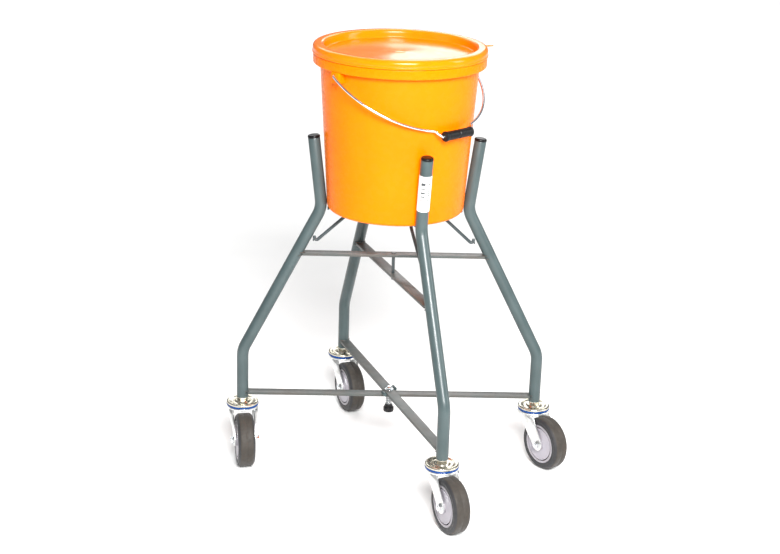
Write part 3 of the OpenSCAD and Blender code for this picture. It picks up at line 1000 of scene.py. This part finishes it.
@dataclass
class Pivot:
    """What holds the two frames together on the pivot axis."""

    finishes: Finishes
    bolt_r: float = 4.0
    washer_r: float = 8.0
    knob_r: float = 10.0
    wire_r: float = 0.8
    coil_r: float = 5.6
    coil_turns: float = 4.5

    def make_bolt(self) -> bpy.types.Object:
        """Turns the bolt with its domed hexagon head."""
        low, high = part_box("pivot_bolt")
        head_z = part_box("pivot_washer")[1].z / MM
        shank = turn(
            "shank",
            rounded(
                [(0, low.z / MM, 0), (self.bolt_r, low.z / MM, 0.5), (self.bolt_r, head_z + 1, 0)]
                + [(0, head_z + 1, 0)]
            ),
            32,
        )
        head = hexagon("head", 7.5, head_z, head_z + 4, 0.5)
        top = high.z / MM
        dome = turn(
            "dome",
            rounded([(6.3, head_z + 3.4, 0), (6.2, head_z + 4.2, 0.6), (3.4, top - 0.5, 2), (0, top, 0)]),
            40,
        )
        return self.finishes.dress(join("pivot_bolt_domed", [head, shank, dome]), "bolt_zinc")

    def make_washer(self) -> bpy.types.Object:
        """Turns the washer."""
        low, high = (corner.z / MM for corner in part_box("pivot_washer"))
        ring = closed(
            [(self.bolt_r + 0.1, low), (self.washer_r, low), (self.washer_r, high), (self.bolt_r + 0.1, high)]
        )
        washer = turn("pivot_washer_flat", ring, 48)
        finish_with(washer, "BEVEL", width=0.25 * MM, segments=2, limit_method="ANGLE")
        return self.finishes.dress(washer, "bolt_zinc")

    def make_spring(self) -> bpy.types.Object:
        """Coils the clamp spring."""
        low, high = (corner.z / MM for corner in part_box("pivot_spring"))
        start = Vector((self.coil_r, 0, low + self.wire_r))
        deselect_all()
        bpy.ops.mesh.primitive_circle_add(
            vertices=12, radius=self.wire_r * MM, location=start * MM,
            rotation=(math.pi / 2, 0, 0), fill_type="NGON"
        )
        settle("clamp_spring")
        bpy.ops.object.mode_set(mode="OBJECT")
        spring = bpy.context.object
        rise = high - low - 2 * self.wire_r
        finish_with(
            spring, "SCREW", angle=math.tau * self.coil_turns, screw_offset=rise * MM,
            steps=round(32 * self.coil_turns), render_steps=round(32 * self.coil_turns),
            use_smooth_shade=True,
        )
        bpy.ops.object.mode_set(mode="EDIT")
        return self.finishes.dress(close_up(spring), "spring_steel")

    def make_knob(self) -> bpy.types.Object:
        """Moulds the clamp knob with flutes round its grip."""
        low, high = (corner.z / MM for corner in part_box("pivot_knob"))
        outline = rounded([
            (0, low, 0), (self.knob_r, low, 2.2), (self.knob_r, low + 9.4, 2.2), (7.4, low + 10.6, 0.8),
            (7.4, high, 0.5),
            (4.3, high, 0),
        ])
        knob = turn("clamp_knob", outline, 48)
        for vertex in knob.data.vertices:
            out = Vector(vertex.co.xy)
            if out.length > (self.knob_r - 0.8) * MM:
                flute = 0.5 - 0.5 * math.cos(12 * math.atan2(out.y, out.x))
                vertex.co.xy = out * (1 - 0.06 * flute)
        return self.finishes.dress(knob, "knob_plastic")

    def make_pin(self) -> bpy.types.Object:
        """Turns the upper pin with its flat riveted head."""
        low, high = (corner.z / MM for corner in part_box("pivot_pin"))
        outline = rounded([
            (0, low, 0), (3, low, 0.7), (3, high - 1.2, 0),
            (4.5, high - 1.2, 0.3), (4.5, high, 0.7), (0, high, 0),
        ])
        return self.finishes.dress(turn("pivot_pin_riveted", outline, 40), "rod_paint")

    def build(self) -> None:
        """Makes and installs the pivot's pieces."""
        install(self.make_bolt(), "frame_side", "pivot_bolt")
        install(self.make_washer(), "frame_side", "pivot_washer")
        install(self.make_spring(), "frame_side", "pivot_spring")
        install(self.make_pin(), "frame_side", "pivot_pin")
        install(self.make_knob(), "knob", "pivot_knob")
        self.finishes.dress_node("stop_lugs", "frame_paint")


@dataclass
class Label:
    """The sticker wrapped round the front leg."""

    finishes: Finishes

    def build(self) -> None:
        """Dresses the sticker, whose shape is already right."""
        self.finishes.dress_node("label_sleeve", "label_vinyl")


# ---------------------------------------------------------------- a caster


@dataclass
class CasterKit:
    """Patterns for one caster, drawn with the stem on the Z axis and trailing along +X."""

    finishes: Finishes
    trail: float = 40.0
    wheel_r: float = 50.0
    wheel_half: float = 16.0
    plate_r: float = 30.0
    plate_low: float = 110.0
    crown_top: float = 106.0
    crown_r: float = 29.5
    sheet: float = 2.5
    cheek_face: float = 20.5
    tip_r: float = 12.0
    rim_r: float = 37.0
    tube_low: float = 122.0
    patterns: dict[str, bpy.types.Object] = field(default_factory=dict)

    def make_head(self) -> bpy.types.Object:
        """Presses the dished top plate and adds the hexagon boss under the tube."""
        low, edge = self.plate_low, self.plate_r
        dish = rounded([
            (0, low, 0), (edge, low, 1.0), (edge, low + 3.4, 1.2), (edge - 2.6, low + 5.0, 1.4),
            (edge - 6, low + 4.6, 3),
            (edge - 10.5, low + 2.4, 3), (15.5, low + 2.6, 2), (12.8, low + 5.9, 1), (0, low + 6, 0),
        ])
        plate = turn("plate", dish, 96)
        boss = hexagon("boss", 10.5, low + 5.5, self.tube_low + 0.5, 0.6)
        stem = turn(
            "stem", [(0, 100.2), (8.9, 100.2), (8.9, 102.1), (6, 102.1), (6, low + 0.5), (0, low + 0.5)], 32
        )
        return self.finishes.dress(join("caster_head", [plate, boss, stem]), "head_zinc")

    def make_seal(self) -> bpy.types.Object:
        """Moulds the dust seal with a rounded outer edge."""
        low, high = self.crown_top + 0.3, self.plate_low
        edge, bore = self.plate_r + 0.5, self.plate_r - 7
        outline = rounded([(bore, low, 0), (edge, low, 1.2), (edge, high, 0.8), (bore, high, 0)])
        return self.finishes.dress(turn("dust_seal", closed(outline), 96), "seal_plastic")

    def cheek_edges(self, z: float) -> Pair:
        """Front and back edge of a fork cheek at a height.

        Args:
            z: height in millimetres.

        Returns:
            The two edges' distances along the trail.
        """
        top = self.crown_top - 6
        eye = Vector((self.trail, self.wheel_r))
        edges = []
        for start_x, sign in ((-24.0, -1), (26.0, 1)):
            away = Vector((start_x, top)) - eye
            spread = math.acos(self.tip_r / away.length)
            a = math.atan2(away.y, away.x) - sign * spread
            touch = eye + self.tip_r * Vector((math.cos(a), math.sin(a)))
            if z > touch.y:
                edges.append(touch.x + (start_x - touch.x) * (z - touch.y) / (top - touch.y))
            else:
                edges.append(eye.x + sign * math.sqrt(max(self.tip_r ** 2 - (z - eye.y) ** 2, 0)))
        return edges[0], edges[1]

    def make_fork(self) -> bpy.types.Object:
        """Presses the fork: a round crown whose skirt runs down into two tapering cheeks."""
        top, edge = self.crown_top, 1.6
        deselect_all()
        bpy.ops.mesh.primitive_circle_add(
            vertices=96, radius=(self.crown_r - edge) * MM, location=(0, 0, top * MM), fill_type="NGON"
        )
        fork = settle("pressed_fork")
        radius = self.crown_r - edge
        for k in range(1, 5):
            a = math.pi / 2 * k / 4
            wider = self.crown_r - edge + edge * math.sin(a)
            pull(Vector((0, 0, edge * (math.cos(a) - math.cos(a - math.pi / 8)))))
            bpy.ops.transform.resize(value=(wider / radius, wider / radius, 1), center_override=(0, 0, 0))
            radius = wider
        crown_foot = top - 3.5
        pull(Vector((0, 0, crown_foot - top + edge)))
        for side in (-1, 1):
            self.draw_cheek(fork, side, crown_foot)
        close_up(fork)
        finish_with(fork, "SOLIDIFY", thickness=self.sheet * MM, offset=-1.0, use_even_offset=True)
        finish_with(
            fork, "BEVEL", width=0.5 * MM, segments=2, limit_method="ANGLE", angle_limit=math.radians(55)
        )
        bpy.ops.object.shade_smooth_by_angle(angle=math.radians(40))
        return self.finishes.dress(fork, "fork_zinc")

    def draw_cheek(self, fork: bpy.types.Object, side: int, crown_foot: float) -> None:
        """Draws one cheek down from the crown's rim, row by row, while it flattens and narrows.

        Args:
            fork: the fork, in edit mode.
            side: -1 or 1, for the cheek's side along Y.
            crown_foot: height of the crown's lower rim in millimetres.
        """
        bpy.ops.object.mode_set(mode="OBJECT")
        mesh = fork.data
        for part in (*mesh.vertices, *mesh.edges, *mesh.polygons):
            part.select = False
        rim = {
            v.index for v in mesh.vertices
            if abs(v.co.z - crown_foot * MM) < 0.01 * MM and side * v.co.y >= self.cheek_face * MM
        }
        for e in mesh.edges:
            e.select = set(e.vertices) <= rim
        for i in rim:
            mesh.vertices[i].select = True
        reach = max(abs(mesh.vertices[i].co.x) for i in rim) / MM
        bpy.ops.object.mode_set(mode="EDIT")
        bpy.ops.mesh.select_mode(type="EDGE")
        lowest = self.wheel_r - self.tip_r
        flat_z = lowest + 18
        rows = [100, 96, 91, 86, 80, 74, 68, 62, 56, 51, 47, 43.5, 41, 39.4, 38.5, 38.1]
        left, right, bulge, z = -reach, reach, 1.0, crown_foot
        for row in rows:
            share = min(max((crown_foot - row) / (crown_foot - flat_z), 0), 1)
            flatter = 1 - share * share * (3 - 2 * share)
            new_left, new_right = self.cheek_edges(row)
            pull(Vector((0, 0, row - z)))
            middle = (left + right) / 2
            bpy.ops.transform.resize(
                value=((new_right - new_left) / (right - left), flatter / bulge if bulge else 1, 1),
                center_override=(middle * MM, side * self.cheek_face * MM, row * MM),
            )
            bpy.ops.transform.translate(value=(((new_left + new_right) / 2 - middle) * MM, 0, 0))
            left, right, bulge, z = new_left, new_right, flatter, row
        bpy.ops.mesh.select_mode(type="VERT")

    def onto_axle(self) -> Matrix:
        """Turns a shape drawn round the Z axis onto the axle line."""
        return Matrix.Translation((self.trail, 0, self.wheel_r)) @ Matrix.Rotation(math.pi / 2, 4, "X")

    def make_axle(self) -> bpy.types.Object:
        """Makes the axle bolt with its chamfered head and nut."""
        face = self.cheek_face
        shank = turn(
            "shank",
            rounded([(0, -face - 1, 0), (4, -face - 1, 0), (4, face + 6.3, 0.6), (0, face + 6.3, 0)]),
            28,
        )
        shank_end = turn(
            "shank_end",
            rounded([(0, face + 5, 0), (3.6, face + 5, 0), (3.6, face + 6.4, 0.5), (0, face + 6.4, 0)]),
            28,
        )
        head = hexagon("head", 7.5, -face - 6.4, -face, 0.7)
        nut = hexagon("nut", 7.5, face, face + 5.3, 0.6)
        axle = join("axle_bolt", [head, nut, shank, shank_end])
        return self.finishes.dress(put(axle, self.onto_axle()), "bolt_zinc")

    def make_tyre(self) -> bpy.types.Object:
        """Moulds the tyre with round shoulders, a moulding line and a browner tread."""
        half, r, bore = self.wheel_half, self.wheel_r, self.rim_r + 0.05
        one_side = [(bore, half - 1, 0), (bore + 1.6, half, 0.8), (bore + 3.4, half, 0.5),
                    (bore + 3.9, half - 0.5, 0.4),
                    (r - 5, half - 0.1, 3), (r - 0.25, half - 4.8, 3.4), (r, 0.5, 0)]
        upper = rounded(one_side, 6)
        lower = [(radius, -z) for radius, z in reversed(upper)]
        tyre = turn("rubber_tyre", closed([*upper, (r - 0.12, 0.25), (r - 0.12, -0.25), *lower]), 128, 35)
        self.finishes.dress(tyre, "tyre_rubber", self.finishes.tread)
        for face in tyre.data.polygons:
            face.material_index = int(Vector(face.center.xy).length > (r - 2.6) * MM)
        return put(tyre, self.onto_axle())

    def make_hub(self) -> bpy.types.Object:
        """Moulds the wheel centre: rim ring, web and bearing boss."""
        boss, ring, rim = self.wheel_half + 1.6, self.wheel_half - 0.5, self.rim_r
        one_side = rounded([
            (4.1, boss, 0), (10.8, boss, 0.6), (11, 5, 1.5), (rim - 4, 5, 1.5), (rim - 4, ring, 0.7),
            (rim, ring, 0.5), (rim, 0, 0)
        ])
        hub = turn("wheel_centre", closed([*one_side, *[(r, -z) for r, z in reversed(one_side[:-1])]]), 96)
        return self.finishes.dress(put(hub, self.onto_axle()), "hub_plastic")

    def make_guards(self) -> bpy.types.Object:
        """Moulds the two thin discs over the wheel centre."""
        low, high, edge = self.wheel_half - 2, self.wheel_half - 0.5, self.rim_r - 6
        outline = rounded([
            (11.3, low, 0), (edge, low, 0.3), (edge, high, 0.7), (edge - 2, high, 0.6),
            (edge - 3.2, high - 0.35, 0.6),
            (15, high - 0.35, 0.5), (14, high, 0.4), (11.3, high, 0)
        ])
        near = turn("near_disc", closed(outline), 96)
        far = copy_to(near, "far_disc", Matrix.Rotation(math.pi, 4, "X"))
        return self.finishes.dress(put(join("wheel_discs", [near, far]), self.onto_axle()), "guard_plastic")

    def prepare(self) -> None:
        """Makes one pattern of each piece."""
        self.patterns = {
            "head": self.make_head(), "seal": self.make_seal(),
            "fork": self.make_fork(), "axle": self.make_axle(),
            "tyre": self.make_tyre(), "hub": self.make_hub(), "guards": self.make_guards(),
        }

    def build(self, side: Side) -> None:
        """Copies the patterns onto one leg.

        Args:
            side: the leg.
        """
        bodies = {
            "head": side.frame_body, "seal": side.frame_body,
            "fork": f"swivel_{side.value}", "axle": f"swivel_{side.value}",
            "tyre": f"wheel_{side.value}", "hub": f"wheel_{side.value}", "guards": f"wheel_{side.value}",
        }
        for part, body in bodies.items():
            piece = copy_to(self.patterns[part], f"caster_{part}_{side.value}", caster_place(side))
            install(piece, body, f"{part}_{side.value}")

    def clear(self) -> None:
        """Removes the patterns."""
        discard(*self.patterns.values())


# ---------------------------------------------------------------- the pail and its lid


@dataclass
class Pail:
    """The tapered pail with its collar, raised mouth and two ears."""

    finishes: Finishes
    wall: float = 2.4
    base_r: float = 124.5
    neck_r: float = 142.0
    collar_r: float = 155.0
    mouth_r: float = 146.0
    collar_z: float = 770.0
    collar_top: float = 787.0
    corner: float = 8.0
    ear_size: Corner = (15.6, 20.0, 19.6)

    def wall_at(self, z: float) -> float:
        """Outer radius of the wall at a height."""
        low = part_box("pail")[0].z / MM + self.corner
        return self.base_r + (self.neck_r - self.base_r) * (z - low) / (self.collar_z - low)

    def make_shell(self) -> bpy.types.Object:
        """Moulds the shell, from the middle of its bottom over the mouth and back inside."""
        bottom, top = (corner.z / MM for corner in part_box("pail"))
        web, skirt = self.collar_top - 3, self.collar_r - 2.2
        outline = rounded([
            (0, bottom + 0.8, 0), (self.base_r - 14, bottom + 0.8, 2), (self.base_r - 16 + 3, bottom, 0.8),
            (self.base_r, bottom, self.corner), (self.wall_at(web), web, 1.5), (skirt, web, 1),
            (skirt, self.collar_z, 0.8),
            (self.collar_r - 0.4, self.collar_z, 1.6), (self.collar_r, self.collar_top, 1.8),
            (self.mouth_r, self.collar_top, 0.8), (self.mouth_r, top, 1.1),
            (self.mouth_r - self.wall, top, 1.1),
            (self.wall_at(web) - self.wall, web - 3, 2),
            (self.wall_at(bottom + self.corner) - self.wall, bottom + self.wall, self.corner - self.wall),
            (0, bottom + self.wall, 0),
        ], 8)
        return turn("shell", outline, 180, 32)

    def make_ears(self) -> list[bpy.types.Object]:
        """Makes the two ears on the line that the bail turns about."""
        axis = Vector(joint("bail_swing")["axis"])
        line = math.atan2(axis.y, axis.x)
        length, width, height = self.ear_size
        ears = []
        for end in (0.0, math.pi):
            centre = (self.neck_r - 1.5 + length / 2, 0, self.collar_z + 0.6 - height / 2)
            block = bevelled_block("ear", (length, width, height), centre, 1.4, 4)
            eyelet = turn(
                "eyelet", rounded([(2.7, -1, 0), (4.6, -1, 0), (4.6, 0.9, 0.8), (2.7, 0.9, 0.6)]), 32
            )
            outer = Matrix.Translation((centre[0] + length / 2, 0, joint("bail_swing")["pos_m"][2] / MM))
            put(eyelet, outer @ Matrix.Rotation(math.pi / 2, 4, "Y"))
            ears.append(put(join("ear", [block, eyelet]), Matrix.Rotation(line + end, 4, "Z")))
        return ears

    def build(self) -> None:
        """Makes and installs the pail."""
        pail = join("orange_pail", [self.make_shell(), *self.make_ears()])
        install(self.finishes.dress(pail, "pail_plastic"), "pail", "pail")


@dataclass
class Lid:
    """The press-on lid with its rolled rim, and the double pull loop on its edge."""

    finishes: Finishes
    panel_r: float = 134.0
    panel_z: float = 789.0
    loop_heading: float = math.radians(22)
    strip: float = 1.8

    def make_lid(self) -> bpy.types.Object:
        """Moulds the lid, from the middle of its underside round the rim to the middle of its panel."""
        low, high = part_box("lid")
        edge, top = high.x / MM, high.z / MM
        skirt, gate, lip = 787.6, 9.5, self.panel_r + 2
        outline = rounded([
            (0, low.z / MM, 0), (lip + 0.2, low.z / MM, 1.5), (lip + 2.2, top - 6, 2),
            (lip + 6, top - 2.2, 2.5),
            (edge - 7, top - 2.2, 2.5), (edge - 2.4, top - 7, 2), (edge - 2.4, skirt, 0), (edge, skirt, 0.9),
            (edge - 0.1, skirt + 3.0, 0.6), (edge - 0.9, skirt + 3.9, 0.6), (edge - 0.7, skirt + 4.4, 0.5),
            (edge - 0.5, top, 7.5), (lip - 0.4, top, 6), (self.panel_r, self.panel_z, 2.6),
            (gate + 0.6, self.panel_z, 0.3), (gate, self.panel_z + 0.5, 0.4),
            (gate - 1.0, self.panel_z + 0.5, 0.4),
            (gate - 1.6, self.panel_z, 0.3), (0, self.panel_z, 0),
        ], 9)
        return turn("orange_lid", outline, 180, 32)

    def make_loops(self) -> bpy.types.Object:
        """Makes the two thin loops, a long one and a short one side by side."""
        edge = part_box("lid")[1].x / MM - 0.2
        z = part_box("pull_tab")[0].z / MM + 1.2
        loops = []
        for i, (start, reach) in enumerate(((-11, 27), (0, 16))):
            end = edge + reach - self.strip / 2
            corners = [Vector((edge - 0.6, start + 0.9, z)), Vector((end, start + 4.6, z)),
                       Vector((end, start + 7.4, z)), Vector((edge - 0.6, start + 11.1, z))]
            loops.append(
                bend_rod(f"loop_{i}", corners, [0, 1.2, 1.2, 0], self.strip / 2, sides=12, fineness=12)
            )
        tab = join("pull_loops", loops)
        return put(tab, Matrix.Rotation(self.loop_heading, 4, "Z"))

    def build(self) -> None:
        """Makes and installs the lid and its loops."""
        install(self.finishes.dress(self.make_lid(), "lid_plastic"), "lid", "lid")
        install(self.finishes.dress(self.make_loops(), "tab_plastic"), "lid", "pull_tab")


@dataclass
class Bail:
    """The wire bail and the grip that turns on it."""

    finishes: Finishes
    wire_r: float = 2.25
    bow_r: float = 161.0
    bow_drop: float = 7.0
    pin_length: float = 15.0
    grip_l: float = 65.0
    grip_r: float = 8.0
    flange_r: float = 9.0

    @property
    def drop(self) -> float:
        """Distance from the bail's pivot line to the middle of the grip."""
        pivot, grip = (Vector(joint(name)["pos_m"]) for name in ("bail_swing", "grip_turn"))
        return (grip - pivot).length / MM

    def make_wire(self) -> bpy.types.Object:
        """Bends the wire: pins in the ears, a round bow and a straight length through the grip."""
        r, drop = self.bow_r, self.drop
        turned = math.acos(48 / r)
        shoulder = self.bow_drop + r * math.tan(turned / 2)
        run = 4
        kink_x = r * math.cos(turned) - run * math.sin(turned)
        kink_y = self.bow_drop + r * math.sin(turned) + run * math.cos(turned)
        half = self.grip_l / 2 + 5
        right = [(half, drop), (kink_x, kink_y), (r, shoulder), (r, 0), (r - self.pin_length, 0)]
        flat = [*[(-x, y) for x, y in reversed(right)], *right]
        bends = [0, 5, r, 4, 4, 4, 4, r, 5, 0]
        wire = bend_rod(
            "bail_of_wire", [Vector((x, y, 0)) for x, y in flat], bends, self.wire_r, sides=20, fineness=2.5
        )
        return self.finishes.dress(put(wire, bail_place()), "bail_wire")

    def make_grip(self) -> bpy.types.Object:
        """Moulds the two-part grip with its flanged ends, fine ribs and groove between the halves."""
        half, ribs = self.grip_l / 2, 6
        bore = self.wire_r + 0.07
        end = [
            (bore, half, 0), (self.flange_r, half, 1.2),
            (self.flange_r, half - 3.6, 1.0), (self.grip_r, half - 5.2, 0.6),
        ]
        start, stop = half - 7, 4.0
        pitch = (start - stop) / ribs
        body = []
        for i in range(ribs):
            z = start - i * pitch
            body += [(self.grip_r, z, 0.3), (self.grip_r - 0.45, z - 0.7, 0.2), (self.grip_r, z - 1.4, 0.3)]
        waist = [(self.grip_r, 2.4, 0.6), (self.grip_r - 1.3, 1.2, 0.4), (self.grip_r - 1.3, 0, 0)]
        upper = rounded([*end, *body, *waist], 4)
        lower = [(r, -z) for r, z in reversed(upper[:-1])]
        grip = turn("bail_grip", closed([*upper, *lower]), 48, 30)
        place = bail_place() @ Matrix.Translation((0, self.drop, 0)) @ Matrix.Rotation(math.pi / 2, 4, "Y")
        return self.finishes.dress(put(grip, place), "grip_plastic")

    def build(self) -> None:
        """Makes and installs the bail and its grip."""
        install(self.make_wire(), "bail", "bail")
        install(self.make_grip(), "grip", "grip")


# ---------------------------------------------------------------- the studio


@dataclass
class Studio:
    """Floor, soft lights, white surroundings and camera."""

    finishes: Finishes
    eye: Corner = (-0.13104, -2.85865, 1.34637)
    heading: float = math.radians(-2.519)
    dip: float = math.radians(18.909)
    roll: float = math.radians(1.869)
    lens: float = 75.14

    def lay_floor(self) -> None:
        """Lays the pale floor."""
        deselect_all()
        bpy.ops.mesh.primitive_plane_add(size=40)
        floor = settle("studio_floor")
        bpy.ops.mesh.subdivide(number_cuts=4)
        bpy.ops.object.mode_set(mode="OBJECT")
        floor.data.materials.append(self.finishes.floor)

    def hang_light(self, name: str, heading: float, height: float, distance: float, size: Pair, power: float,
                   aside: Vector = Vector()) -> None:
        """Hangs a softbox that faces the object, or a spot beside it.

        Args:
            name: the light's name.
            heading: degrees round from the camera's side of the object, anticlockwise from above.
            height: degrees above the horizon.
            distance: metres from the object.
            size: width and height in metres.
            power: watts.
            aside: metres from the object to the spot that the light faces.
        """
        low, high = CAD_BOX
        centre = (low + high) / 2 + aside
        a, e = math.radians(heading), math.radians(height)
        away = Vector((math.sin(a) * math.cos(e), -math.cos(a) * math.cos(e), math.sin(e)))
        lamp = bpy.data.lights.new(name, "AREA")
        lamp.shape, lamp.size, lamp.size_y = "RECTANGLE", size[0], size[1]
        lamp.energy = power
        holder = bpy.data.objects.new(name, lamp)
        holder.location = centre + away * distance
        holder.rotation_euler = away.to_track_quat("Z", "Y").to_euler()
        bpy.context.collection.objects.link(holder)

    def light(self) -> None:
        """Hangs the lights and whitens the surroundings."""
        self.hang_light("key_softbox", 6, 32, 3.2, (1.2, 1.0), 220)
        self.hang_light("right_strip", 80, 25, 2.6, (0.6, 1.8), 24)
        self.hang_light("left_fill", -70, 25, 3.0, (1.5, 1.8), 4)
        self.hang_light("top_softbox", 180, 75, 3.0, (2.4, 1.6), 18)
        self.hang_light("back_card", 172, 19.5, 4.2, (0.9, 0.7), 6.5)
        self.hang_light("floor_wash", 180, 90, 3.4, (6.0, 4.5), 260, Vector((0, 5.5, 0)))
        world = bpy.data.worlds.new("white_surroundings")
        bpy.context.scene.world = world
        world.use_nodes = True
        background = world.node_tree.nodes["Background"]
        background.inputs["Color"].default_value = shade("#fbfcff")
        background.inputs["Strength"].default_value = 0.25
        bpy.context.scene.view_settings.view_transform = "Standard"

    def set_camera(self) -> None:
        """Stands the camera at the eye, turned, dipped and rolled."""
        a, d = self.heading, self.dip
        ahead = Vector((-math.sin(a) * math.cos(d), math.cos(a) * math.cos(d), -math.sin(d)))
        level = Vector((math.cos(a), math.sin(a), 0))
        upright = level.cross(ahead)
        right = level * math.cos(self.roll) + upright * math.sin(self.roll)
        up = upright * math.cos(self.roll) - level * math.sin(self.roll)
        lens = bpy.data.cameras.new("camera")
        lens.sensor_fit, lens.sensor_width, lens.lens = "HORIZONTAL", 36, self.lens
        camera = bpy.data.objects.new("camera", lens)
        camera.matrix_world = Matrix.Translation(self.eye) @ Matrix((right, up, -ahead)).transposed().to_4x4()
        bpy.context.collection.objects.link(camera)
        bpy.context.scene.camera = camera

    def build(self) -> None:
        """Sets up the whole studio."""
        self.set_camera()
        self.lay_floor()
        self.light()


def main() -> None:
    """Builds the bucket, piece by piece, and then the studio round it."""
    logging.basicConfig(level=logging.INFO, format="%(name)s: %(message)s")
    finishes = Finishes()
    legs = {side: Leg(side, finishes) for side in Side}
    for leg in legs.values():
        leg.build()
    for node, side in (("tie_upper_side", Side.RIGHT), ("tie_lower_side", Side.RIGHT),
                       ("tie_upper_cross", Side.BACK), ("tie_lower_cross", Side.BACK)):
        Tie(node, legs[side]).build()
    Pivot(finishes).build()
    Label(finishes).build()
    casters = CasterKit(finishes)
    casters.prepare()
    for side in Side:
        casters.build(side)
    casters.clear()
    Pail(finishes).build()
    Lid(finishes).build()
    Bail(finishes).build()
    Studio(finishes).build()


if __name__ == "__main__":
    main()
